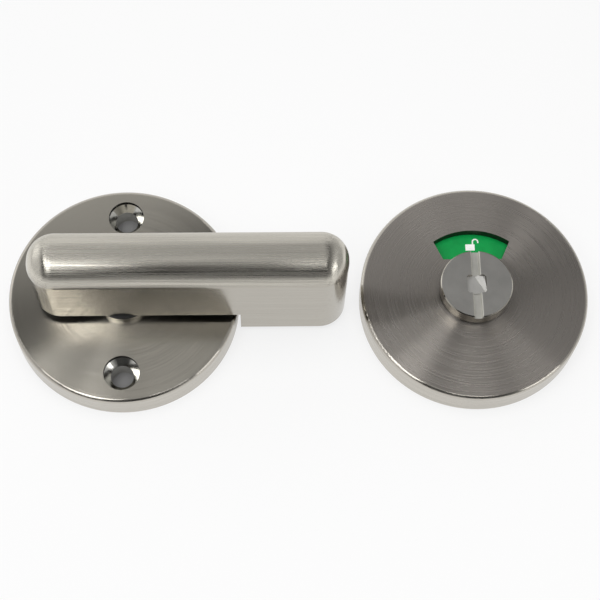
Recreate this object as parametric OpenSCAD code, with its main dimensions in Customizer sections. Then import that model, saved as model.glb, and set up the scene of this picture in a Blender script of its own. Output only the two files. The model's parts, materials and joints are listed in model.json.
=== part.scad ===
// Toilet indicator bolt: a turn lever with a lowered bolt tail for the inside of a door,
// and an indicator with a coin-slot release for the outside. A square spindle joins them
// through the door. The two halves lie on their backs, side by side.
// The origin is on the lever's turning axis, in the plane of the door's face.
// +Z points away from the door, and the bolt tail points along +X.

/* [Roses] */
// Diameter of both roses
rose_d = 60; // [58:1:80]
// Height of a rose above the door
rose_h = 8; // [7.5:0.5:12]
// Thickness of a rose's face
rose_face_t = 2.5; // [2:0.1:3]
// Thickness of a rose's side wall
rose_wall = 2.5; // [1.5:0.1:3]
// Radius of a rose's rounded front edge
rose_edge_r = 1; // [0.4:0.1:1.8]
// Distance between the turning axes of the two halves
pair_pitch = 92; // [84:1:160]

/* [Fixing screws] */
// Distance between the two fixing screws
screw_spacing = 44; // [43.5:0.5:46]
// Diameter of the clearance hole for a fixing screw
screw_hole_d = 6; // [5.2:0.1:6.5]
// Diameter of the countersink for a fixing screw's head
countersink_d = 9.3; // [8.5:0.1:10]
// Depth of the straight recess above the countersink
head_recess = 1.3; // [0.5:0.1:2]
// Diameter of the boss round a clearance hole
screw_boss_d = 12; // [9:0.5:14]
// Diameter of the tapped hole that takes a fixing screw
tapped_hole_d = 4.2; // [3.3:0.1:5]
// Diameter of the boss round a tapped hole
tapped_boss_d = 7.2; // [6.2:0.1:7.4]
// Metal left over a blind hole at the face
blind_cover_t = 1; // [0.6:0.1:1.5]

/* [Turn lever] */
// Width of the lever
lever_w = 14.7; // [14:0.1:20]
// Height of the grip, from its underside to its top
lever_h = 23.7; // [18:0.1:28]
// From the turning axis to the short end
lever_back = 22.5; // [16:0.5:28]
// From the turning axis to the end of the bolt tail
lever_reach = 58; // [48:0.5:75]
// Radius of the lever's corners, seen from above
lever_corner_r = 7; // [2:0.5:7]
// Radius of the lever's rounded top edges
lever_top_r = 6.5; // [1:0.5:6.5]
// Small bevel along the lever's bottom edges
lever_bevel = 0.4; // [0.2:0.1:0.8]
// Gap between the rose's edge and the step to the bolt tail
tail_gap = 0.5; // [0.3:0.1:2]
// Gap between the bolt tail and the door
tail_lift = 2; // [1:0.5:6]
// Depth of the hub's seat in the lever
hub_grip = 13; // [10:0.5:16]

/* [Shafts and bushes] */
// Diameter of the lever hub and of the knob's shank
shaft_d = 10; // [9.4:0.1:11]
// Depth of each of the two flats at a shaft's lower end
shaft_flat_depth = 0.8; // [0.4:0.1:1]
// Depth of a circlip groove
groove_depth = 0.6; // [0.4:0.1:0.8]
// Length of shaft below its circlip
shaft_end_l = 0.6; // [0.4:0.1:0.8]
// Wall of a bush in its rose
bush_wall = 1; // [0.6:0.1:1.4]
// How far the flange under the lever stands out from its bush
lever_flange_lip = 2; // [1:0.1:3]
// Thickness of the flange under the lever
lever_flange_t = 1.9; // [1:0.1:3]
// How far the flange under the knob stands out from its bush
knob_flange_lip = 1.4; // [0.8:0.1:2]
// Thickness of the flange under the knob
knob_flange_t = 1; // [0.5:0.1:1.5]
// Thickness of the thrust washer under the lever
thrust_washer_t = 0.8; // [0.5:0.1:1.5]

/* [Washers and clips] */
// How far the washers and disc springs stand out from their shaft
washer_lip = 2; // [1.6:0.1:2.6]
// Thickness of a flat washer
flat_washer_t = 0.5; // [0.3:0.1:0.6]
// Thickness of a disc spring's sheet
spring_sheet_t = 0.4; // [0.3:0.05:0.5]
// Height of a disc spring, loaded
spring_h = 0.7; // [0.55:0.05:0.8]
// How far a circlip stands out from its shaft
circlip_lip = 1.3; // [0.8:0.1:1.6]
// Thickness of a circlip
circlip_t = 0.8; // [0.6:0.1:0.9]
// Width of a circlip's mouth
circlip_mouth = 5; // [3:0.5:6]

/* [Quarter-turn stop] */
// Thickness of the stop washer
stop_washer_t = 0.8; // [0.6:0.1:1]
// Width of the stop washer's lug
stop_lug_w = 5; // [3:0.5:6]
// Diameter of a stop peg
stop_peg_d = 3; // [2:0.5:3.5]
// From the turning axis to the centre of a stop peg
stop_peg_ring = 11.5; // [11:0.5:13]
// How far the lever turns
turn_angle = 90; // [80:1:95]

/* [Release knob and spindle] */
// Diameter of the knob
knob_d = 18.8; // [17:0.1:22]
// Height of the knob above the rose's face
knob_proud = 5; // [4:0.1:7]
// Bevel round the knob's top edge
knob_bevel = 0.25; // [0.15:0.05:0.8]
// Width of the coin slot
coin_slot_w = 2; // [1.5:0.1:2.5]
// Depth of the coin slot
coin_slot_depth = 1.2; // [1:0.1:1.6]
// Bevel along the coin slot's edges
coin_slot_bevel = 0.25; // [0.1:0.05:0.5]
// Width across the square spindle
spindle_w = 5; // [4:0.1:5.2]
// Length of spindle beyond the door's face
spindle_reach = 28; // [20:1:60]
// Depth of the spindle's end below the knob's top
spindle_sink = 0.3; // [0.2:0.1:0.8]
// Bevel round the spindle's ends
spindle_bevel = 0.25; // [0.15:0.05:0.8]
// Bevel along the spindle's four long edges
spindle_edge_bevel = 0.5; // [0.2:0.1:0.8]
// Depth of the sheared part of the spindle's outer end
spindle_shear = 0.7; // [0.3:0.1:0.9]
// Slope up from the sheared part to the corner that is left
spindle_shear_angle = 25; // [15:1:40]
// Metal left over the spindle socket in the lever hub
socket_cover_t = 4; // [2:0.5:8]
// Clearance round the spindle in its socket, on each side
socket_gap = 0.1; // [0.05:0.05:0.2]

/* [Indicator] */
// From the turning axis to the window's straight inner edge
window_base = 9.2; // [9:0.1:12]
// How far the indicator disc reaches past the window's outer arc
window_lap = 0.4; // [0.3:0.1:1.2]
// Angle of each of the window's sides from its middle line
window_side_angle = 25; // [20:0.5:30]
// How far past the turning axis the lines of the window's sides meet
window_apex = 7.5; // [3:0.5:9]
// Clearance between the indicator disc and the tapped bosses
disc_gap = 0.4; // [0.3:0.1:1]
// Thickness of the indicator disc
disc_t = 0.8; // [0.6:0.1:1]
// Diameter of the indicator disc's hub
disc_hub_d = 15; // [14:0.5:17]
// Thickness of a label
label_t = 0.15; // [0.1:0.05:0.2]
// Clearance between a label and the rose's face
label_gap = 0.3; // [0.2:0.05:0.4]
// Bare edge of the disc inside and outside a label
label_margin = 0.2; // [0.1:0.1:0.4]
// Angle between the two labels
label_split = 2; // [1:0.5:4]

/* [Back plate] */
// Thickness of the back plate
plate_t = 1; // [0.8:0.1:1.2]
// Distance between the two back plate screws
plate_screw_spacing = 45; // [44:0.5:46]
// Diameter of a back plate screw
plate_screw_d = 2.5; // [2:0.5:3]
// Diameter of a back plate screw's head
plate_head_d = 4.2; // [3.8:0.1:4.4]
// Length of a back plate screw
plate_screw_l = 5; // [4:0.5:6]
// Diameter of the boss round a back plate screw
plate_boss_d = 5.2; // [4.5:0.1:6]
// Width of the slot in a back plate screw's head
plate_slot_w = 0.6; // [0.5:0.1:0.8]
// Depth of the slot in a back plate screw's head
plate_slot_depth = 0.4; // [0.3:0.1:0.5]

/* [Grub screw] */
// Diameter of the grub screw
grub_d = 4; // [3:0.5:5]
// Height of the grub screw above the lever's underside
grub_height = 6; // [4:0.5:9]
// Depth of the grub screw's dimple in the hub
grub_dimple = 0.7; // [0.4:0.1:0.9]
// Depth of the grub screw below the lever's side
grub_sink = 0.2; // [0.1:0.1:0.5]
// Hexagon key of the grub screw
grub_key = 2; // [1.5:0.5:2]
// Depth of the grub screw's key socket
grub_key_depth = 1.4; // [1:0.1:1.6]

/* [Fits] */
// Running clearance of a shaft in its bush, on the radius
running_gap = 0.05; // [0.02:0.01:0.1]
// Clearance between pieces that are pressed or keyed together
seat_gap = 0.02; // [0.01:0.01:0.05]
// Clearance between the pieces stacked on a shaft
stack_gap = 0.05; // [0.03:0.01:0.08]
// Clearance of a loose washer, spring or plate
loose_gap = 0.15; // [0.1:0.05:0.25]
// Clearance left at the end of the quarter turn
stop_gap = 0.2; // [0.1:0.05:0.4]

/* [Hidden] */
$fn = 96;
// How far a cut runs past the face that it opens
cut = 1;
// How far a boss runs into the metal that it stands on
sink = 0.5;
// Least straight stretch across the lever's ends
lever_end_flat = 0.4;
// Where the slope on the spindle's sheared end starts, and which way it rises
shear_start = 0.9;
shear_turn = 30;

rose_r = rose_d / 2;
rose_back_z = rose_h - rose_face_t;
shaft_r = shaft_d / 2;
groove_r = shaft_r - groove_depth;
bush_bore_r = shaft_r + running_gap;
bush_r = bush_bore_r + bush_wall;
lever_flange_r = bush_r + lever_flange_lip;
knob_flange_r = bush_r + knob_flange_lip;
washer_bore_r = shaft_r + loose_gap;
washer_r = shaft_r + washer_lip;
circlip_r = shaft_r + circlip_lip;

// The inside half's stack, from the rose's face up to the lever
lever_flange_z = rose_h + lever_flange_t;
thrust_washer_z = lever_flange_z + stack_gap;
lever_z = thrust_washer_z + thrust_washer_t + stack_gap;
lever_top_z = lever_z + lever_h;
hub_top_z = lever_z + hub_grip;
lever_step_x = rose_r + tail_gap;
// The lever's corners leave a short straight stretch across each end, and its edges a flat top
lever_round_r = min(lever_corner_r, (lever_w - lever_end_flat) / 2);
lever_edge_r = min(lever_top_r, lever_round_r - lever_end_flat / 2);
grub_z = lever_z + grub_height;

// The inside half's stack, from the back of the rose's face down to the hub's end
stop_washer_z = rose_back_z - stack_gap - stop_washer_t;
inside_spring_z = stop_washer_z - stack_gap - spring_h;
inside_washer_z = inside_spring_z - stack_gap - flat_washer_t;
inside_circlip_z = inside_washer_z - stack_gap - circlip_t;
hub_end_z = inside_circlip_z - stack_gap - shaft_end_l;
socket_w = spindle_w + 2 * socket_gap;
socket_depth = hub_top_z - hub_end_z - socket_cover_t;

// The outside half's stack, above the rose's face
knob_z = rose_h + knob_flange_t + stack_gap;
knob_top_z = rose_h + knob_proud;
knob_rim_z = knob_top_z - knob_bevel;
spindle_top_z = knob_top_z - spindle_sink;
spindle_hole_w = spindle_w + 2 * seat_gap;

// The outside half's stack, from the back of the rose's face down to the shank's end
label_z = rose_back_z - label_gap - label_t;
disc_z = label_z - disc_t;
disc_hub_top_z = rose_back_z - stack_gap;
outside_spring_z = disc_z - stack_gap - spring_h;
outside_washer_z = outside_spring_z - stack_gap - flat_washer_t;
outside_circlip_z = outside_washer_z - stack_gap - circlip_t;
shank_end_z = outside_circlip_z - stack_gap - shaft_end_l;

// The indicator disc fills the room between the tapped bosses, and the window follows its edge
disc_r = screw_spacing / 2 - tapped_boss_d / 2 - disc_gap;
window_r = disc_r - window_lap;

// The green label lies behind the window at rest, and the red one comes there after the turn
vacant_at = 90;
engaged_at = vacant_at + turn_angle;

// The lug swings from one peg to the other
lug_at = -turn_angle / 2;
peg_offset = asin((stop_lug_w / 2 + stop_peg_d / 2 + stop_gap) / stop_peg_ring);
peg_angles = [lug_at - peg_offset, lug_at + turn_angle + peg_offset];
lug_reach = stop_peg_ring + stop_peg_d / 2;

satin_nickel = [0.70, 0.68, 0.64];
bright_nickel = [0.78, 0.77, 0.74];
zinc_steel = [0.62, 0.64, 0.66];
spring_steel = [0.30, 0.30, 0.32];
white_nylon = [0.92, 0.91, 0.87];
dark_nylon = [0.10, 0.10, 0.10];
vacant_green = [0.05, 0.62, 0.32];
engaged_red = [0.78, 0.10, 0.09];

// Shared shapes

// Places the children on the outside half's turning axis
module outside_half() {
    translate([pair_pitch, 0, 0]) children();
}

// Places a copy of the children on each side of the axis, along X
module both_sides(spacing) {
    for (side = [-1, 1]) translate([side * spacing / 2, 0, 0]) children();
}

module ring(r_out, r_in, z, h) {
    translate([0, 0, z]) difference() {
        cylinder(r = r_out, h = h);
        translate([0, 0, -cut]) cylinder(r = r_in, h = h + 2 * cut);
    }
}

// Half of an upright section from the axis to a radius, with its top edge rounded
module round_edge_section(r, z_low, z_high, edge_r) {
    translate([0, z_low]) square([r - edge_r, z_high - z_low]);
    translate([0, z_low]) square([r, z_high - z_low - edge_r]);
    translate([r - edge_r, z_high - edge_r]) circle(edge_r);
}

// Hollow round cover, open at the back
module rose_shell() {
    difference() {
        rotate_extrude() round_edge_section(rose_r, 0, rose_h, rose_edge_r);
        translate([0, 0, -cut]) cylinder(r = rose_r - rose_wall, h = rose_back_z + cut);
    }
}

// Boss on the back of a rose's face
module face_boss(d, z) {
    translate([0, 0, z]) cylinder(d = d, h = rose_back_z - z + sink);
}

module bush_seat() {
    translate([0, 0, rose_back_z - cut]) cylinder(r = bush_r + seat_gap, h = rose_face_t + 2 * cut);
}

module flanged_bush(flange_r, flange_t) {
    rotate_extrude() polygon([
        [bush_bore_r, rose_back_z], [bush_r, rose_back_z], [bush_r, rose_h],
        [flange_r, rose_h], [flange_r, rose_h + flange_t], [bush_bore_r, rose_h + flange_t]
    ]);
}

// Round bar with two flats; gap widens it to a keyed bore
module keyed_core(z, h, gap) {
    flat_y = shaft_r - shaft_flat_depth + gap;
    translate([0, 0, z]) intersection() {
        cylinder(r = shaft_r + gap, h = h);
        translate([-shaft_d, -flat_y, 0]) cube([2 * shaft_d, 2 * flat_y, h]);
    }
}

// Shaft that turns in a bush, with its keyed lower end and circlip groove
module shaft(end_z, top_z, circlip_z) {
    difference() {
        union() {
            keyed_core(end_z, rose_back_z - end_z, 0);
            translate([0, 0, rose_back_z]) cylinder(r = shaft_r, h = top_z - rose_back_z);
        }
        ring(shaft_r + cut, groove_r, circlip_z - stack_gap, circlip_t + 2 * stack_gap);
    }
}

module square_bar(w, z, h) {
    translate([-w / 2, -w / 2, z]) cube([w, w, h]);
}

// Square bar with its four long edges bevelled
module spindle_bar(w, z, h) {
    intersection() {
        square_bar(w, z, h);
        rotate(45) square_bar((w - spindle_edge_bevel) * sqrt(2), z, h);
    }
}

module circlip(z) {
    difference() {
        ring(circlip_r, groove_r + seat_gap, z, circlip_t);
        translate([0, -circlip_mouth / 2, z - cut])
            cube([2 * circlip_r, circlip_mouth, circlip_t + 2 * cut]);
    }
}

// Conical spring washer with its inner edge up
module disc_spring(z) {
    rotate_extrude() polygon([
        [washer_bore_r, z + spring_h - spring_sheet_t], [washer_r, z],
        [washer_r, z + spring_sheet_t], [washer_bore_r, z + spring_h]
    ]);
}

module flat_washer(z) {
    ring(washer_r, washer_bore_r, z, flat_washer_t);
}

// Wedge with its point at the origin and its middle line along +Y
module wedge(half_angle, reach, z, h) {
    translate([0, 0, z]) linear_extrude(h)
        polygon([[0, 0], [reach * tan(half_angle), reach], [-reach * tan(half_angle), reach]]);
}

// Inside half

// Clearance hole with a countersink that lies below the face
module countersunk_hole() {
    sink_depth = (countersink_d - screw_hole_d) / 2;
    sink_top_z = rose_h - head_recess;
    translate([0, 0, -cut]) cylinder(d = screw_hole_d, h = rose_h + 2 * cut);
    translate([0, 0, sink_top_z - sink_depth])
        cylinder(d1 = screw_hole_d, d2 = countersink_d, h = sink_depth);
    translate([0, 0, sink_top_z]) cylinder(d = countersink_d, h = head_recess + cut);
}

module stop_peg() {
    translate([stop_peg_ring, 0, stop_washer_z - stack_gap])
        cylinder(d = stop_peg_d, h = rose_back_z - stop_washer_z + stack_gap + sink);
}

module inside_rose() {
    color(satin_nickel) difference() {
        union() {
            rose_shell();
            intersection() {
                rotate(90) both_sides(screw_spacing) face_boss(screw_boss_d, 0);
                cylinder(r = rose_r - rose_wall + sink, h = rose_h);
            }
            for (angle = peg_angles) rotate(angle) stop_peg();
        }
        bush_seat();
        rotate(90) both_sides(screw_spacing) countersunk_hole();
    }
}

module inside_bush() {
    color(bright_nickel) flanged_bush(lever_flange_r, lever_flange_t);
}

// Half of an upright section of the lever: bevelled at the bottom, rounded at the top
module half_lever_section(half_w) {
    difference() {
        intersection() {
            round_edge_section(half_w, tail_lift, lever_top_z, lever_edge_r);
            translate([0, tail_lift]) square([half_w, lever_top_z - tail_lift]);
        }
        translate([half_w, tail_lift]) rotate(45) square(lever_bevel * sqrt(2), center = true);
    }
}

// Bar along X with the lever's section
module lever_bar(l, w) {
    rotate([90, 0, 90]) linear_extrude(l, center = true)
        for (side = [0, 1]) mirror([side, 0]) half_lever_section(w / 2);
}

// The lever before its underside is cut: two crossing bars and four turned corners
module lever_block() {
    straight_w = lever_w - 2 * lever_round_r;
    straight_l = lever_back + lever_reach - 2 * lever_round_r;
    translate([(lever_reach - lever_back) / 2, 0, 0]) {
        lever_bar(straight_l, lever_w);
        rotate(90) lever_bar(straight_w, straight_l + 2 * lever_round_r);
        for (x = [-1, 1], y = [-1, 1])
            translate([x * straight_l / 2, y * straight_w / 2, 0])
                rotate_extrude() half_lever_section(lever_round_r);
    }
}

module turn_lever() {
    color(satin_nickel) difference() {
        lever_block();
        // Room for the rose under the grip
        translate([-lever_back - cut, -lever_w, 0])
            cube([lever_back + cut + lever_step_x, 2 * lever_w, lever_z]);
        // Seat of the hub
        translate([0, 0, lever_z - cut]) cylinder(r = shaft_r + seat_gap, h = hub_grip + cut);
        translate([0, 0, grub_z]) rotate([-90, 0, 0])
            cylinder(d = grub_d + 2 * seat_gap, h = lever_w);
    }
}

module lever_hub() {
    color(zinc_steel) difference() {
        shaft(hub_end_z, hub_top_z, inside_circlip_z);
        square_bar(socket_w, hub_end_z - cut, socket_depth + cut);
        translate([0, shaft_r - grub_dimple, grub_z]) rotate([-90, 0, 0])
            cylinder(d = grub_d + 2 * seat_gap, h = shaft_r);
    }
}

module lever_grub_screw() {
    tip_y = shaft_r - grub_dimple + seat_gap;
    outer_y = lever_w / 2 - grub_sink;
    color(spring_steel) translate([0, 0, grub_z]) rotate([-90, 0, 0]) difference() {
        translate([0, 0, tip_y]) cylinder(d = grub_d, h = outer_y - tip_y);
        translate([0, 0, outer_y - grub_key_depth])
            cylinder(d = grub_key / cos(30), h = grub_key_depth + cut, $fn = 6);
    }
}

module lever_thrust_washer() {
    color(dark_nylon) ring(lever_flange_r, washer_bore_r, thrust_washer_z, thrust_washer_t);
}

module stop_washer() {
    color(zinc_steel) difference() {
        translate([0, 0, stop_washer_z]) union() {
            cylinder(r = washer_r, h = stop_washer_t);
            rotate(lug_at) translate([0, -stop_lug_w / 2, 0])
                cube([lug_reach, stop_lug_w, stop_washer_t]);
        }
        keyed_core(stop_washer_z - cut, stop_washer_t + 2 * cut, seat_gap);
    }
}

module inside_disc_spring() {
    color(spring_steel) disc_spring(inside_spring_z);
}

module inside_flat_washer() {
    color(zinc_steel) flat_washer(inside_washer_z);
}

module inside_circlip() {
    color(spring_steel) circlip(inside_circlip_z);
}

// Outside half

module tapped_hole() {
    translate([0, 0, -cut]) cylinder(d = tapped_hole_d, h = rose_h - blind_cover_t + cut);
}

module plate_screw_hole() {
    translate([0, 0, -cut])
        cylinder(d = plate_screw_d + 2 * seat_gap, h = plate_screw_l + stack_gap + cut);
}

// Fan-shaped window, with its sides aimed at a point past the turning axis
module window() {
    z = rose_back_z - cut;
    h = rose_face_t + 2 * cut;
    intersection() {
        translate([0, 0, z]) cylinder(r = window_r, h = h);
        translate([-rose_r, window_base, z]) cube([rose_d, rose_r, h]);
        translate([0, -window_apex, 0]) wedge(window_side_angle, window_apex + rose_r, z, h);
    }
}

module outside_rose() {
    color(satin_nickel) outside_half() difference() {
        union() {
            rose_shell();
            both_sides(screw_spacing) face_boss(tapped_boss_d, plate_t);
            rotate(90) both_sides(plate_screw_spacing) face_boss(plate_boss_d, plate_t);
        }
        bush_seat();
        window();
        both_sides(screw_spacing) tapped_hole();
        rotate(90) both_sides(plate_screw_spacing) plate_screw_hole();
    }
}

module outside_bush() {
    color(bright_nickel) outside_half() flanged_bush(knob_flange_r, knob_flange_t);
}

// Straight slot across the knob's top, with bevelled edges
module coin_slot() {
    side = coin_slot_w / 2;
    lip = side + coin_slot_bevel;
    floor_z = knob_top_z - coin_slot_depth;
    bevel_z = knob_top_z - coin_slot_bevel;
    high = knob_top_z + cut;
    rotate([90, 0, 0]) linear_extrude(2 * knob_d, center = true) polygon([
        [-side, floor_z], [side, floor_z], [side, bevel_z], [lip, knob_top_z],
        [lip, high], [-lip, high], [-lip, knob_top_z], [-side, bevel_z]
    ]);
}

module release_knob() {
    color(bright_nickel) outside_half() difference() {
        union() {
            shaft(shank_end_z, knob_z, outside_circlip_z);
            translate([0, 0, knob_z]) cylinder(d = knob_d, h = knob_rim_z - knob_z);
            translate([0, 0, knob_rim_z])
                cylinder(d1 = knob_d, d2 = knob_d - 2 * knob_bevel, h = knob_bevel);
        }
        spindle_bar(spindle_hole_w, shank_end_z - cut, knob_top_z - shank_end_z + 2 * cut);
        coin_slot();
    }
}

// Bar along Z with its ends bevelled on two sides
module tapered_ends() {
    side = spindle_w / 2;
    tip = side - spindle_bevel;
    low = -spindle_reach;
    high = spindle_top_z;
    rotate([90, 0, 0]) linear_extrude(spindle_w, center = true) polygon([
        [-tip, low], [tip, low], [side, low + spindle_bevel], [side, high - spindle_bevel],
        [tip, high], [-tip, high], [-side, high - spindle_bevel], [-side, low + spindle_bevel]
    ]);
}

// The metal that was sheared off the spindle's outer end, which leaves one corner higher
module sheared_metal() {
    translate([0, 0, spindle_top_z - spindle_shear]) intersection() {
        square_bar(2 * spindle_w, 0, spindle_w);
        rotate(shear_turn) translate([shear_start, 0, 0]) rotate([0, -spindle_shear_angle, 0])
            square_bar(4 * spindle_w, 0, 2 * spindle_w);
    }
}

module spindle() {
    color(zinc_steel) outside_half() difference() {
        intersection() {
            spindle_bar(spindle_w, -spindle_reach, spindle_reach + spindle_top_z);
            tapered_ends();
            rotate(90) tapered_ends();
        }
        sheared_metal();
    }
}

module indicator_disc() {
    color(white_nylon) outside_half() difference() {
        union() {
            translate([0, 0, disc_z]) cylinder(r = disc_r, h = disc_t);
            translate([0, 0, disc_z]) cylinder(d = disc_hub_d, h = disc_hub_top_z - disc_z);
        }
        keyed_core(disc_z - cut, disc_hub_top_z - disc_z + 2 * cut, seat_gap);
    }
}

// Sector of a ring on the indicator disc, its middle at an angle from +X
module disc_label(at) {
    intersection() {
        ring(disc_r - label_margin, disc_hub_d / 2 + label_margin, label_z, label_t);
        rotate(at - 90) wedge((turn_angle - label_split) / 2, 2 * disc_r, label_z, label_t);
    }
}

module vacant_label() {
    color(vacant_green) outside_half() disc_label(vacant_at);
}

module engaged_label() {
    color(engaged_red) outside_half() disc_label(engaged_at);
}

module outside_disc_spring() {
    color(spring_steel) outside_half() disc_spring(outside_spring_z);
}

module outside_flat_washer() {
    color(zinc_steel) outside_half() flat_washer(outside_washer_z);
}

module outside_circlip() {
    color(spring_steel) outside_half() circlip(outside_circlip_z);
}

// Countersunk head shape at the back of the plate; gap widens it to its hole
module plate_screw_head(gap) {
    head_depth = (plate_head_d - plate_screw_d) / 2;
    cylinder(d1 = plate_head_d + 2 * gap, d2 = plate_screw_d + 2 * gap, h = head_depth);
}

module outside_back_plate() {
    color(zinc_steel) outside_half() difference() {
        cylinder(r = rose_r - rose_wall - loose_gap, h = plate_t);
        translate([0, 0, -cut]) cylinder(r = circlip_r + loose_gap, h = plate_t + 2 * cut);
        both_sides(screw_spacing) translate([0, 0, -cut])
            cylinder(d = screw_hole_d, h = plate_t + 2 * cut);
        rotate(90) both_sides(plate_screw_spacing) {
            translate([0, 0, -cut]) cylinder(d = plate_screw_d + 2 * seat_gap, h = plate_t + 2 * cut);
            plate_screw_head(seat_gap);
        }
    }
}

module back_plate_screw() {
    difference() {
        union() {
            plate_screw_head(0);
            cylinder(d = plate_screw_d, h = plate_screw_l);
        }
        translate([-plate_slot_w / 2, -plate_head_d, -cut])
            cube([plate_slot_w, 2 * plate_head_d, plate_slot_depth + cut]);
    }
}

module back_plate_screws() {
    color(zinc_steel) outside_half() rotate(90) both_sides(plate_screw_spacing) back_plate_screw();
}

inside_rose();
inside_bush();
turn_lever();
lever_hub();
lever_grub_screw();
lever_thrust_washer();
stop_washer();
inside_disc_spring();
inside_flat_washer();
inside_circlip();
outside_rose();
outside_bush();
release_knob();
spindle();
indicator_disc();
vacant_label();
engaged_label();
outside_disc_spring();
outside_flat_washer();
outside_circlip();
outside_back_plate();
back_plate_screws();
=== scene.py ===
"""Looks of the toilet indicator bolt: its finishes, printed marks, floor, lamps and camera.

Lengths are in metres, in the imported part's own frame: the origin is on the lever's turning axis,
in the plane of the door's face, +Z points away from the door and the bolt tail lies along +X.
"""

import json
import math

import bpy
from mathutils import Matrix, Vector


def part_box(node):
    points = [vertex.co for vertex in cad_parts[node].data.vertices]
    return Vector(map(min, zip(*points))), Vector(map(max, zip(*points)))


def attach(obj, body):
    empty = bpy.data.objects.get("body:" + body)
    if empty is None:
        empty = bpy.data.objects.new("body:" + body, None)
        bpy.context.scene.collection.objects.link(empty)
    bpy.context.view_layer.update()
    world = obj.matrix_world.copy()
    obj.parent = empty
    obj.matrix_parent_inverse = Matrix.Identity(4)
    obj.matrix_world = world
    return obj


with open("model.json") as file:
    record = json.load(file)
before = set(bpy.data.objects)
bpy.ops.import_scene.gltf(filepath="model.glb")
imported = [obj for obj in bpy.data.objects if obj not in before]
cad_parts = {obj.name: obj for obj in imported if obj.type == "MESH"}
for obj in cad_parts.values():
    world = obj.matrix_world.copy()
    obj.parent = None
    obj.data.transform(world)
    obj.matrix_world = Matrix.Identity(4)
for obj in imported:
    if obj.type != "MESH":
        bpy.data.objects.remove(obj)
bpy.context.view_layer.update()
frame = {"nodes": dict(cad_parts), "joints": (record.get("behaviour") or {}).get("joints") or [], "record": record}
nodes = frame["nodes"]
joints = {joint["name"]: joint for joint in frame["joints"]}
mounts = {mount["name"]: mount for mount in frame["record"]["mounts"]}

MM = 0.001


def foot_of_axis(joint_name):
    """The point where a joint's upright axis meets the door's face."""
    x, y, _ = joints[joint_name]["pos_m"]
    return Vector((x, y, 0))


# Places on the part, from the frame
INSIDE_AXIS = foot_of_axis("lever_turn")
OUTSIDE_AXIS = foot_of_axis("indicator_turn")
HOLE_SPACING = mounts["inside_fixings"]["dims"]["spacing_y_mm"] * MM
SCREW_HOLES = [INSIDE_AXIS + Vector((0, side * HOLE_SPACING / 2, 0)) for side in (1, -1)]
ROSE_LOW, ROSE_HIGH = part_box("inside_rose")
ROSE_R = (ROSE_HIGH.x - ROSE_LOW.x) / 2
KNOB_TOP_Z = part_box("release_knob")[1].z
LABEL_TOP_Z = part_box("vacant_label")[1].z

# Directions of the labels from the knob's axis, in degrees. At the end of the indicator's turn,
# the engaged label lies where the vacant one was
VACANT_ANGLE = 90
ENGAGED_ANGLE = VACANT_ANGLE - joints["indicator_turn"]["range_deg"][0]

# Sizes of the roses, the window and the coin slot, as in the part's source
ROSE_FACE_T = 2.5 * MM
ROSE_WALL = 2.5 * MM
ROSE_EDGE_R = 1 * MM
COUNTERSINK_R = 4.65 * MM
HEAD_RECESS = 1.3 * MM
WINDOW_BASE = 9.2 * MM
WINDOW_R = 17.6 * MM
COIN_SLOT_HALF_W = 1.25 * MM
COIN_SLOT_DEPTH = 1.2 * MM
ROSE_BACK_Z = ROSE_HIGH.z - ROSE_FACE_T
ROSE_INNER_R = ROSE_R - ROSE_WALL
HEAD_RECESS_Z = ROSE_HIGH.z - HEAD_RECESS
COIN_SLOT_FLOOR_Z = KNOB_TOP_Z - COIN_SLOT_DEPTH

# Faces count as lying on a plane or a cylinder within this distance
NEAR = 0.02 * MM
# Heights of a face's normal: level above the first, tilted above the second, upright below the third
LEVEL = 0.99
TILTED = 0.5
UPRIGHT = 0.05

# Brushing lines to a metre, counted across the lines
FINE_LINES = 4200
COARSE_LINES = 1500
# Share of the fine lines in a brushed finish
FINE_SHARE = 0.8
# How much the finer lumps of a noise count
NOISE_ROUGHNESS = 0.55
# Radius of the slight crown that polishing leaves on a round face
CROWN_R = 300 * MM

# Colours, linear
NICKEL = (0.47, 0.445, 0.39, 1)
LEVER_NICKEL = (0.65, 0.62, 0.55, 1)
# Darker copy of the lever's nickel for its upright sides: painted shade
SIDE_NICKEL_PAINTED_SHADE = (0.45, 0.425, 0.375, 1)
WARM_NICKEL = (0.445, 0.412, 0.378, 1)
# Lighter copy of the roses' nickel for their rims: painted light
RIM_NICKEL_PAINTED_LIGHT = (0.55, 0.52, 0.465, 1)
GREY_NICKEL = (0.49, 0.48, 0.455, 1)
PALE_NICKEL = (0.76, 0.75, 0.70, 1)
ZINC = (0.60, 0.61, 0.62, 1)
YELLOW_ZINC = (0.62, 0.60, 0.52, 1)
BLUE_ZINC = (0.55, 0.59, 0.64, 1)
RAW_ZINC = (0.42, 0.42, 0.41, 1)
# Raw zinc darkened far below its own tone: painted shade under the lever
UNDERSIDE_ZINC_PAINTED_SHADE = (0.12, 0.12, 0.117, 1)
BAR_STEEL = (0.72, 0.71, 0.68, 1)
BLACK_STEEL = (0.035, 0.035, 0.038, 1)
WORN_STEEL = (0.16, 0.16, 0.16, 1)
# Painted shade of the window's and head recesses' walls, darkest and lightest
WALL_SHADE_DARK = (0.03, 0.03, 0.03, 1)
WALL_SHADE_LIGHT = (0.09, 0.085, 0.08, 1)
WHITE_NYLON = (0.80, 0.79, 0.74, 1)
DARK_NYLON = (0.02, 0.02, 0.021, 1)
GREEN = (0.004, 0.33, 0.07, 1)
RED = (0.55, 0.02, 0.02, 1)
WHITE_INK = (0.95, 0.95, 0.93, 1)
WHITE = (1, 1, 1, 1)
BOARD_WHITE = (0.85, 0.85, 0.85, 1)
HOLE_PAINTED_SHADE = (0.22, 0.22, 0.22, 1)
BELOW_FLOOR = (0.25, 0.25, 0.25, 1)


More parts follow.
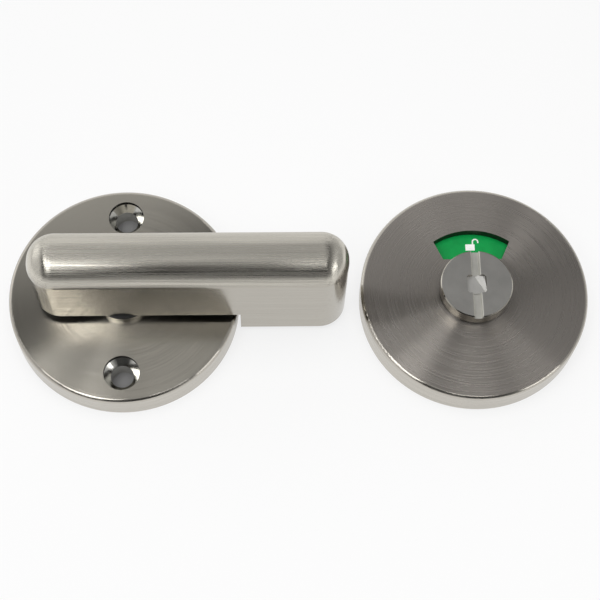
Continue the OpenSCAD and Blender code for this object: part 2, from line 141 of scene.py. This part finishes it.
class Nodes:
    """Short ways to add nodes to a tree."""

    def __init__(self, tree):
        self.tree = tree

    def feed(self, socket, value):
        """Links a node or an output to a socket, or sets the socket's own value."""
        if isinstance(value, bpy.types.Node):
            value = value.outputs[0]
        if isinstance(value, bpy.types.NodeSocket):
            self.tree.links.new(value, socket)
        else:
            socket.default_value = value

    def add(self, kind, inputs=None, **properties):
        """A node of a kind, with its properties set and its inputs fed."""
        made = self.tree.nodes.new("ShaderNode" + kind)
        for name, value in properties.items():
            setattr(made, name, value)
        for key, value in (inputs or {}).items():
            self.feed(made.inputs[key], value)
        return made

    def math(self, operation, *values):
        return self.add("Math", dict(enumerate(values)), operation=operation)

    def vector(self, operation, *values):
        return self.add("VectorMath", dict(enumerate(values)), operation=operation)

    def chain(self, operation, first, *others):
        """Joins any number of values by one operation, two at a time."""
        for other in others:
            first = self.math(operation, first, other)
        return first

    def blend(self, factor, first, second):
        """A colour between two others."""
        mix = self.add("Mix", {0: factor, 6: first, 7: second}, data_type="RGBA")
        return mix.outputs["Result"]

    def layer(self, factor, first, second):
        """A shader between two others."""
        return self.add("MixShader", {0: factor, 1: first, 2: second})

    def spread(self, value, low, high, start=0.3, end=0.7, kind="LINEAR"):
        """Stretches part of a value's range over another; by default the part is a noise's middle."""
        inputs = {"Value": value, "From Min": start, "From Max": end, "To Min": low, "To Max": high}
        return self.add("MapRange", inputs, interpolation_type=kind)

    def ease(self, value, low, high, start, end):
        """A spread with a soft start and end."""
        return self.spread(value, low, high, start, end, "SMOOTHSTEP")

    def place(self):
        """The point on the piece, in the part's frame at rest."""
        return self.add("TexCoord").outputs["Object"]

    def flat_offset(self, axis):
        """The level offset of the place from an upright axis, and its length."""
        offset = self.vector("SUBTRACT", self.place(), axis)
        flat = self.vector("MULTIPLY", offset, (1, 1, 0))
        return flat, self.vector("LENGTH", flat).outputs["Value"]

    def noise(self, vector, scale=1.0, detail=3.0):
        inputs = {"Vector": vector, "Scale": scale, "Detail": detail, "Roughness": NOISE_ROUGHNESS}
        return self.add("TexNoise", inputs)

    def grain(self, per_metre, detail=3.0):
        """Noise with about so many lumps to a metre."""
        return self.noise(self.place(), per_metre, detail)

    def straight_lines(self, x, y, z):
        """Noise with so many lumps to a metre along each axis."""
        return self.noise(self.vector("MULTIPLY", self.place(), (x, y, z)))


class Finish(Nodes):
    """A material with one Principled shader."""

    def __init__(self, name, settings):
        self.material = bpy.data.materials.new(name)
        self.material.use_nodes = True
        super().__init__(self.material.node_tree)
        self.shader = self.tree.nodes["Principled BSDF"]
        for key, value in settings.items():
            self.shader.inputs[key].default_value = value

    def link(self, **outputs):
        """Links outputs to the shader; colour, roughness, bump and tangent are the names."""
        sockets = {
            "colour": "Base Color", "roughness": "Roughness", "bump": "Normal", "tangent": "Tangent",
        }
        for name, value in outputs.items():
            self.feed(self.shader.inputs[sockets[name]], value)

    def mottle(self, pattern, colour, low, high):
        """A colour that goes with a noise pattern from a darker to a lighter shade of itself."""
        return self.blend(self.spread(pattern, 0, 1), shade(colour, low), shade(colour, high))

    def bump(self, height, distance):
        return self.add("Bump", {"Strength": 1.0, "Distance": distance, "Height": height})

    def tangent(self, axis):
        """A direction that runs round one of the frame's axes."""
        return self.add("Tangent", direction_type="RADIAL", axis=axis)


def shade(colour, factor):
    """The same colour, lighter or darker."""
    return (colour[0] * factor, colour[1] * factor, colour[2] * factor, 1)


# Finishes


def circle_lines(finish, axis, around, across):
    """Noise in lines that run in circles about an upright axis.

    Around is how much it varies along a line, and across is the number of lines to a metre.
    """
    offset = finish.vector("SUBTRACT", finish.place(), axis)
    flat, radius = finish.flat_offset(axis)
    height = finish.add("SeparateXYZ", {0: offset}).outputs["Z"]
    reach = finish.math("MULTIPLY", finish.math("ADD", radius, height), across)
    circle = finish.vector("SCALE", finish.vector("NORMALIZE", flat))
    finish.feed(circle.inputs["Scale"], around)
    return finish.noise(finish.vector("ADD", circle, finish.add("CombineXYZ", {"Z": reach})), detail=2)


def brushed(finish, colour, fine, coarse, roughness, depth, crown=0.0, shaded_side_colour=None):
    """Feeds a brushed metal's colour, roughness and scratches from fine and coarse line noise.

    The depth is that of the scratches. The crown is a height that the polishing left on the face.
    The side's colour, where there is one, is a darker painted shade that shows more and more as the metal rounds
    over to upright.
    """
    fine_part = finish.math("MULTIPLY", fine, FINE_SHARE)
    coarse_part = finish.math("MULTIPLY", coarse, 1 - FINE_SHARE)
    lines = finish.math("ADD", fine_part, coarse_part)
    streaks = finish.mottle(lines, colour, low=0.93, high=1.04)
    if shaded_side_colour:
        normal = finish.add("SeparateXYZ", {0: finish.add("TexCoord").outputs["Normal"]})
        # Painted shade: the darker side colour spreads over the rounding as it turns upright
        facing_up = finish.spread(normal.outputs["Z"], 0, 1, start=0.05, end=0.45)
        streaks = finish.blend(facing_up, shaded_side_colour, streaks)
    smoothest, roughest = roughness
    height = finish.math("MULTIPLY_ADD", lines, depth, crown)
    finish.link(
        colour=streaks,
        roughness=finish.spread(lines, roughest, smoothest, start=0.4, end=0.6),
        # The height is in metres already
        bump=finish.bump(height, distance=1.0),
    )


def round_brushed(name, axis, colour, roughness):
    """Satin metal that is brushed in circles about an upright axis."""
    finish = Finish(name, {"Metallic": 1.0, "Anisotropic": 1.0, "Anisotropic Rotation": 0.25})
    fine = circle_lines(finish, axis, around=1.2, across=FINE_LINES)
    coarse = circle_lines(finish, axis, around=0.8, across=COARSE_LINES)
    # The crown falls away with the square of the distance from the axis
    radius = finish.flat_offset(axis)[1]
    crown = finish.math("MULTIPLY", finish.math("MULTIPLY", radius, radius), -0.5 / CROWN_R)
    brushed(finish, colour, fine, coarse, roughness, depth=0.0007 * MM, crown=crown)
    finish.link(tangent=finish.tangent("Z"))
    return finish.material


def long_brushed(name, colour, roughness, shaded_side_colour=None):
    """Satin metal that is brushed along X."""
    finish = Finish(name, {"Metallic": 1.0, "Anisotropic": 1.0})
    fine = finish.straight_lines(35, FINE_LINES, FINE_LINES)
    coarse = finish.straight_lines(15, COARSE_LINES, COARSE_LINES)
    brushed(finish, colour, fine, coarse, roughness, depth=0.0002 * MM, shaded_side_colour=shaded_side_colour)
    finish.link(tangent=finish.tangent("X"))
    return finish.material


def drawn_bar(name):
    """Square bar with drawing lines along Z."""
    finish = Finish(name, {"Metallic": 1.0, "Anisotropic": 0.4})
    fine = finish.straight_lines(2600, 2600, 50)
    coarse = finish.straight_lines(500, 500, 25)
    brushed(finish, BAR_STEEL, fine, coarse, roughness=(0.24, 0.38), depth=0.0008 * MM)
    return finish.material


def polished(name, colour, roughness):
    """Bright plated metal with faint polishing haze."""
    finish = Finish(name, {"Metallic": 1.0})
    haze = finish.grain(per_metre=900)
    finish.link(
        colour=finish.mottle(haze, colour, low=0.92, high=1.06),
        roughness=finish.spread(haze, *roughness),
        bump=finish.bump(haze, distance=0.003 * MM),
    )
    return finish.material


def blasted(name, colour, roughness):
    """Even matt metal with a fine grain."""
    finish = Finish(name, {"Metallic": 1.0})
    grain = finish.grain(per_metre=5000, detail=4)
    cloud = finish.grain(per_metre=260)
    finish.link(
        colour=finish.mottle(cloud, colour, low=0.92, high=1.05),
        roughness=finish.spread(grain, *roughness),
        bump=finish.bump(grain, distance=0.01 * MM),
    )
    return finish.material


def zinc_plated(name):
    """Bright zinc plating with a cloudy, slightly blue and yellow cast."""
    finish = Finish(name, {"Metallic": 1.0})
    cloud = finish.grain(per_metre=160, detail=5)
    cast = finish.grain(per_metre=45)
    tint = finish.blend(finish.spread(cast, 0, 1), YELLOW_ZINC, BLUE_ZINC)
    finish.link(
        colour=finish.blend(finish.spread(cloud, 0, 0.6), ZINC, tint),
        roughness=finish.spread(cloud, 0.24, 0.40),
        bump=finish.bump(finish.grain(per_metre=3000), distance=0.004 * MM),
    )
    return finish.material


def raw_casting(name, colour):
    """Unplated die-cast zinc, as on the back of a rose."""
    finish = Finish(name, {"Metallic": 1.0})
    flow = finish.grain(per_metre=120, detail=6)
    grain = finish.grain(per_metre=2500)
    finish.link(
        colour=finish.mottle(flow, colour, low=0.75, high=1.1),
        roughness=finish.spread(grain, 0.42, 0.62),
        bump=finish.bump(grain, distance=0.02 * MM),
    )
    return finish.material


def blackened(name):
    """Oiled black spring steel, worn brighter in patches."""
    finish = Finish(name, {"Metallic": 0.6, "Specular IOR Level": 0.4})
    wear = finish.grain(per_metre=700, detail=5)
    worn = finish.spread(wear, 0, 1, start=0.55, end=0.8)
    finish.link(
        colour=finish.blend(worn, BLACK_STEEL, WORN_STEEL),
        roughness=finish.spread(wear, 0.48, 0.34),
        bump=finish.bump(finish.grain(per_metre=4000), distance=0.006 * MM),
    )
    return finish.material


def painted_shade_wall(name):
    """Dark, dull metal: painted shade on the upright walls of the head recesses and the window."""
    finish = Finish(name, {"Metallic": 1.0})
    speckle = finish.grain(per_metre=1800, detail=4)
    finish.link(
        colour=finish.blend(finish.spread(speckle, 0, 1), WALL_SHADE_DARK, WALL_SHADE_LIGHT),
        roughness=finish.spread(speckle, 0.40, 0.60),
        bump=finish.bump(speckle, distance=0.01 * MM),
    )
    return finish.material


def moulded(name, colour):
    """Matt moulded plastic with a fine texture."""
    finish = Finish(name, {"Specular IOR Level": 0.4})
    grain = finish.grain(per_metre=2600, detail=4)
    cloud = finish.grain(per_metre=140)
    finish.link(
        colour=finish.mottle(cloud, colour, low=0.92, high=1.04),
        roughness=finish.spread(grain, 0.46, 0.60),
        bump=finish.bump(grain, distance=0.012 * MM),
    )
    return finish.material


def printed_film(name, colour):
    """Glossy printed film with slightly uneven ink."""
    finish = Finish(name, {"Specular IOR Level": 0.3, "Coat Weight": 0.05, "Coat Roughness": 0.2})
    ink = finish.grain(per_metre=420, detail=4)
    finish.link(
        colour=finish.mottle(ink, colour, low=0.90, high=1.06),
        roughness=finish.spread(ink, 0.28, 0.40),
        bump=finish.bump(finish.grain(per_metre=1500), distance=0.004 * MM),
    )
    return finish.material


# Tests for the faces of the nodes, by a face's centre and normal


def flat_distance(point, axis):
    """Distance of a point from an upright axis."""
    return math.hypot(point.x - axis.x, point.y - axis.y)


def is_level(normal):
    return abs(normal.z) > LEVEL


def is_upright(normal):
    return abs(normal.z) < UPRIGHT


def in_screw_hole(centre, normal):
    nearest = min(flat_distance(centre, hole) for hole in SCREW_HOLES)
    return nearest < COUNTERSINK_R and not is_level(normal)


def in_head_recess(centre, normal):
    """The upright wall above a screw hole's countersink."""
    return in_screw_hole(centre, normal) and is_upright(normal) and centre.z > HEAD_RECESS_Z


def on_lever_side(centre, normal):
    return is_upright(normal)


def under_lever(centre, normal):
    return normal.z < -TILTED


def on_rose_back(axis):
    """A test for the faces behind a rose's face and inside its wall."""
    def test(centre, normal):
        return centre.z < ROSE_BACK_Z + NEAR and flat_distance(centre, axis) < ROSE_INNER_R + NEAR
    return test


def on_rose_rim(axis):
    """A test for a rose's outer wall and the rounded edge above it."""
    def test(centre, normal):
        far_out = flat_distance(centre, axis) > ROSE_R - ROSE_EDGE_R - NEAR
        return far_out and not is_level(normal)
    return test


def in_window(centre, normal):
    """The upright walls of the indicator's window."""
    past_base = centre.y > WINDOW_BASE - NEAR
    under_arc = flat_distance(centre, OUTSIDE_AXIS) < WINDOW_R + NEAR
    return is_upright(normal) and centre.z > ROSE_BACK_Z and past_base and under_arc


def on_knob_top(centre, normal):
    return normal.z > LEVEL and centre.z > KNOB_TOP_Z - NEAR


def in_coin_slot(centre, normal):
    at_depth = COIN_SLOT_FLOOR_Z - NEAR < centre.z < KNOB_TOP_Z - NEAR
    return at_depth and abs(centre.x - OUTSIDE_AXIS.x) < COIN_SLOT_HALF_W


def on_spindle_end(centre, normal):
    """The end in the coin slot, with its sloping facets."""
    return normal.z > TILTED


# Finishes of the nodes


def paint(name, material, *layers):
    """Gives a node one material, and others to the faces that pass a test of centre and normal."""
    mesh = nodes[name].data
    mesh.materials.clear()
    mesh.materials.append(material)
    for face in mesh.polygons:
        face.material_index = 0
    for index, (layer, test) in enumerate(layers, start=1):
        mesh.materials.append(layer)
        for face in mesh.polygons:
            if test(face.center, face.normal):
                face.material_index = index


def turned(name, axis, colour):
    """The finer finish of the rims and the bushes."""
    return round_brushed(name, axis, colour, roughness=(0.14, 0.22))


def paint_roses():
    raw = raw_casting("raw_casting", RAW_ZINC)
    # Painted shade: near-black metal on the walls of the head recesses and the window
    wall_shade = painted_shade_wall("painted_shade_wall")
    inside_face = round_brushed("inside_rose_nickel", INSIDE_AXIS, NICKEL, roughness=(0.15, 0.22))
    # Painted highlight: the countersinks are a much paler nickel than the rose around them
    painted_highlight_sink = polished("countersink_painted_highlight", PALE_NICKEL, roughness=(0.10, 0.18))
    # The rims are smoother, and their lighter nickel is painted light
    paint("inside_rose", inside_face,
          (turned("inside_rim_nickel_painted_light", INSIDE_AXIS, RIM_NICKEL_PAINTED_LIGHT), on_rose_rim(INSIDE_AXIS)),
          (raw, on_rose_back(INSIDE_AXIS)),
          (painted_highlight_sink, in_screw_hole),
          (wall_shade, in_head_recess))
    outside_face = round_brushed(
        "outside_rose_nickel", OUTSIDE_AXIS, WARM_NICKEL, roughness=(0.26, 0.36),
    )
    paint("outside_rose", outside_face,
          (turned("outside_rim_nickel_painted_light", OUTSIDE_AXIS, RIM_NICKEL_PAINTED_LIGHT), on_rose_rim(OUTSIDE_AXIS)),
          (raw, on_rose_back(OUTSIDE_AXIS)),
          (wall_shade, in_window))


def paint_lever():
    top = long_brushed("lever_nickel", LEVER_NICKEL, roughness=(0.18, 0.30), shaded_side_colour=SIDE_NICKEL_PAINTED_SHADE)
    # The sides are smoother, and their darker colour is painted shade
    side = long_brushed("lever_side_nickel_painted_shade", SIDE_NICKEL_PAINTED_SHADE, roughness=(0.08, 0.16))
    # The underside is unplated casting; its near-black colour is painted shade for the gap under the lever
    painted_shade_underside = raw_casting("lever_underside_painted_shade", UNDERSIDE_ZINC_PAINTED_SHADE)
    paint("turn_lever", top, (side, on_lever_side), (painted_shade_underside, under_lever))


def paint_knob_and_spindle():
    bright = polished("bright_nickel", NICKEL, roughness=(0.08, 0.18))
    face = blasted("knob_face", GREY_NICKEL, roughness=(0.36, 0.50))
    slot = blasted("slot_face", PALE_NICKEL, roughness=(0.5, 0.62))
    paint("release_knob", bright, (face, on_knob_top), (slot, in_coin_slot))
    end = blasted("spindle_end", BAR_STEEL, roughness=(0.5, 0.62))
    paint("spindle", drawn_bar("spindle_steel"), (end, on_spindle_end))


def paint_indicator():
    paint("indicator_disc", moulded("white_nylon", WHITE_NYLON))
    paint("vacant_label", printed_film("green_film", GREEN))
    paint("engaged_label", printed_film("red_film", RED))


def paint_small_parts():
    paint("inside_bush", turned("inside_bush_nickel", INSIDE_AXIS, NICKEL))
    paint("outside_bush", turned("outside_bush_nickel", OUTSIDE_AXIS, NICKEL))
    paint("lever_thrust_washer", moulded("dark_nylon", DARK_NYLON))
    paint("back_plate_screws", polished("screw_zinc", ZINC, roughness=(0.16, 0.28)))
    zinc = zinc_plated("zinc_plating")
    for name in ("lever_hub", "stop_washer", "inside_flat_washer", "outside_flat_washer",
                 "outside_back_plate"):
        paint(name, zinc)
    black = blackened("black_steel")
    for name in ("lever_grub_screw", "inside_disc_spring", "outside_disc_spring",
                 "inside_circlip", "outside_circlip"):
        paint(name, black)


# Printed marks


def arc(centre, radius, start, end, steps=16):
    """Points on an arc, between two angles in degrees."""
    x, y = centre
    turns = [math.radians(start + (end - start) * step / steps) for step in range(steps + 1)]
    return [(x + radius * math.cos(turn), y + radius * math.sin(turn)) for turn in turns]


def lock_outlines(is_open):
    """A padlock's body and shackle as flat outlines in millimetres, the shackle towards +Y."""
    half_w, low, high = 1.25, -1.6, 0.2
    inner_r, outer_r = 0.55, 0.9
    body = [(-half_w, low), (half_w, low), (half_w, high), (-half_w, high)]
    # An open shackle is swung round its left leg, and its right leg ends in the air
    centre = (1.45, 0.95) if is_open else (0, 0.75)
    left_end = high
    right_end = 0.6 if is_open else high
    shackle = [(centre[0] + outer_r, right_end)] + arc(centre, outer_r, 0, 180)
    shackle += [(centre[0] - outer_r, left_end), (centre[0] - inner_r, left_end)]
    shackle += arc(centre, inner_r, 180, 0) + [(centre[0] + inner_r, right_end)]
    return body, shackle


def prism_faces(first, count):
    """Faces of a prism whose lower points start at an index and are followed by its upper points."""
    low = list(range(first, first + count))
    high = [index + count for index in low]
    sides = [(a, b, b + count, a + count) for a, b in zip(low, low[1:] + low[:1])]
    return [low[::-1], high] + sides


def mark(name, is_open, angle, material):
    """A padlock of ink on a label, with its shackle away from the turning axis."""
    middle_r = 14.6 * MM
    thickness = 0.03 * MM
    turn = math.radians(angle)
    out = Vector((math.cos(turn), math.sin(turn), 0))
    across = Vector((math.sin(turn), -math.cos(turn), 0))
    points = []
    faces = []
    for outline in lock_outlines(is_open):
        faces += prism_faces(len(points), len(outline))
        for z in (LABEL_TOP_Z, LABEL_TOP_Z + thickness):
            level = OUTSIDE_AXIS + Vector((0, 0, z))
            points += [level + out * (middle_r + y * MM) + across * (x * MM) for x, y in outline]
    mesh = bpy.data.meshes.new(name)
    mesh.from_pydata(points, [], faces)
    mesh.materials.append(material)
    made = bpy.data.objects.new(name, mesh)
    bpy.context.scene.collection.objects.link(made)
    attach(made, "indicator")


def add_marks():
    ink = printed_film("white_ink", WHITE_INK)
    mark("vacant_mark", True, VACANT_ANGLE, ink)
    mark("engaged_mark", False, ENGAGED_ANGLE, ink)


# Stage


def add_camera():
    """The photograph's viewpoint."""
    azimuth = math.radians(-3.74)
    elevation = math.radians(67.22)
    roll = math.radians(3.02)
    target = Vector((46.24 * MM, 1.17 * MM, 0))
    distance = 395.97 * MM
    back = Vector((
        math.sin(azimuth) * math.cos(elevation),
        -math.cos(azimuth) * math.cos(elevation),
        math.sin(elevation),
    ))
    level_right = Vector((math.cos(azimuth), math.sin(azimuth), 0))
    level_up = back.cross(level_right)
    right = math.cos(roll) * level_right + math.sin(roll) * level_up
    up = back.cross(right)
    data = bpy.data.cameras.new("camera")
    data.sensor_width = 36
    data.lens = 88.79
    data.clip_start = 10 * MM
    made = bpy.data.objects.new("camera", data)
    turn = Matrix((right, up, back)).transposed().to_4x4()
    made.matrix_world = Matrix.Translation(target + back * distance) @ turn
    bpy.context.scene.collection.objects.link(made)
    bpy.context.scene.camera = made


def add_world():
    """A room with pale walls and a soft panel overhead, dark behind the camera."""
    made = bpy.data.worlds.new("studio")
    made.use_nodes = True
    bpy.context.scene.world = made
    sky = Nodes(made.node_tree)
    direction = sky.add("TexCoord").outputs["Generated"]
    x, y, z = sky.add("SeparateXYZ", {0: direction}).outputs

    def light(value, start, end, level):
        """Light that grows to a level while a value of the direction goes from start to end."""
        return sky.ease(value, 0.0, level, start, end)

    # The back wall reaches higher on the left
    back_lean = 0.35
    backward = sky.math("SUBTRACT", y, sky.math("MULTIPLY", x, back_lean))
    back_wall = light(backward, start=0.4, end=0.83, level=0.81)
    left_wall = light(sky.math("MULTIPLY", x, -1), start=0.55, end=0.85, level=0.6)
    right_wall = light(x, start=0.3, end=0.8, level=0.41)
    panel = light(z, start=0.85, end=0.98, level=0.54)
    everywhere = 0.045
    above_floor = sky.chain("ADD", back_wall, left_wall, right_wall, panel, everywhere)
    room = sky.blend(sky.math("GREATER_THAN", z, 0.0), BELOW_FLOOR, above_floor)
    sky.feed(made.node_tree.nodes["Background"].inputs["Color"], room)


def white_board(board):
    """White to the eye and in reflections, with the part's shadow on it, and pale grey far away."""
    rays = board.add("LightPath").outputs
    seen = board.chain(
        "MAXIMUM", rays["Is Camera Ray"], rays["Is Glossy Ray"], rays["Is Transmission Ray"],
    )
    away = board.flat_offset((INSIDE_AXIS + OUTSIDE_AXIS) / 2)[1]
    white_share = board.ease(away, low=0.75, high=0.4, start=115 * MM, end=270 * MM)
    coat = board.add("BsdfDiffuse", {"Color": BOARD_WHITE})
    glow = board.add("Emission", {"Color": WHITE, "Strength": 1.0})
    return board.layer(board.math("MULTIPLY", seen, white_share), coat, glow)


def floor_material():
    """The white board, cut away under the roses except where it shows through the screw holes, where it is a dark
    grey painted shade.
    """
    material = bpy.data.materials.new("floor_white")
    material.use_nodes = True
    tree = material.node_tree
    tree.nodes.remove(tree.nodes["Principled BSDF"])
    board = Nodes(tree)

    def within(spots, reach):
        """One where the board is nearer than the reach to any of the upright axes."""
        radii = [board.flat_offset(spot)[1] for spot in spots]
        return board.chain("MAXIMUM", *[board.math("LESS_THAN", radius, reach) for radius in radii])

    under_rim = 0.5 * MM
    below_holes = within(SCREW_HOLES, COUNTERSINK_R)
    below_roses = within((INSIDE_AXIS, OUTSIDE_AXIS), ROSE_R - under_rim)
    cut_away = board.math("SUBTRACT", below_roses, below_holes)
    # From below, the board is clear
    clear = board.math("MAXIMUM", cut_away, board.add("NewGeometry").outputs["Backfacing"])
    # Painted shade: under the screw holes the board is dark grey, not white
    shaded = board.add("BsdfDiffuse", {"Color": HOLE_PAINTED_SHADE})
    solid = board.layer(below_holes, white_board(board), shaded)
    surface = board.layer(clear, solid, board.add("BsdfTransparent"))
    board.feed(tree.nodes["Material Output"].inputs["Surface"], surface)
    return material


def add_floor():
    """A board that lies just below the door's face."""
    half = 2.0
    z = -0.05 * MM
    corners = [(-half, -half, z), (half, -half, z), (half, half, z), (-half, half, z)]
    mesh = bpy.data.meshes.new("floor")
    mesh.from_pydata(corners, [], [(0, 1, 2, 3)])
    mesh.materials.append(floor_material())
    board = bpy.data.objects.new("floor", mesh)
    bpy.context.scene.collection.objects.link(board)


def lamp(name, place, aim, width, depth, power):
    """A soft lamp, with its width level."""
    data = bpy.data.lights.new(name, "AREA")
    data.shape = "RECTANGLE"
    data.size = width
    data.size_y = depth
    data.energy = power
    made = bpy.data.objects.new(name, data)
    made.location = place
    made.rotation_euler = (Vector(aim) - Vector(place)).to_track_quat("-Z", "Y").to_euler()
    bpy.context.scene.collection.objects.link(made)
    return made


def add_lamps():
    """Lamps on the left make the sheens, and two on the right the highlights of that side."""
    middle = (46 * MM, 0, 8 * MM)
    past_lever = (75 * MM, 0, 20 * MM)
    outside_half = (100 * MM, 0, 0)
    lamp("left", (-0.124, -0.152, 0.36), middle, width=0.13, depth=0.18, power=0.27)
    lamp("far_left", (-0.18, -0.03, 0.34), middle, width=0.13, depth=0.08, power=0.08)
    lamp("right", (0.118, -0.16, 0.35), outside_half, width=0.14, depth=0.03, power=0.04)
    lamp("corner", (0.29, -0.15, 0.15), past_lever, width=0.13, depth=0.09, power=0.085)
    # The lamp overhead lights the labels and the floor, and doesn't show in the metal
    overhead = lamp("overhead", (0.046, 0, 0.6), middle, width=0.5, depth=0.5, power=2.0)
    overhead.visible_glossy = False


paint_roses()
paint_lever()
paint_knob_and_spindle()
paint_indicator()
paint_small_parts()
add_marks()
add_camera()
add_world()
add_floor()
add_lamps()
bpy.context.scene.view_settings.view_transform = "Standard"
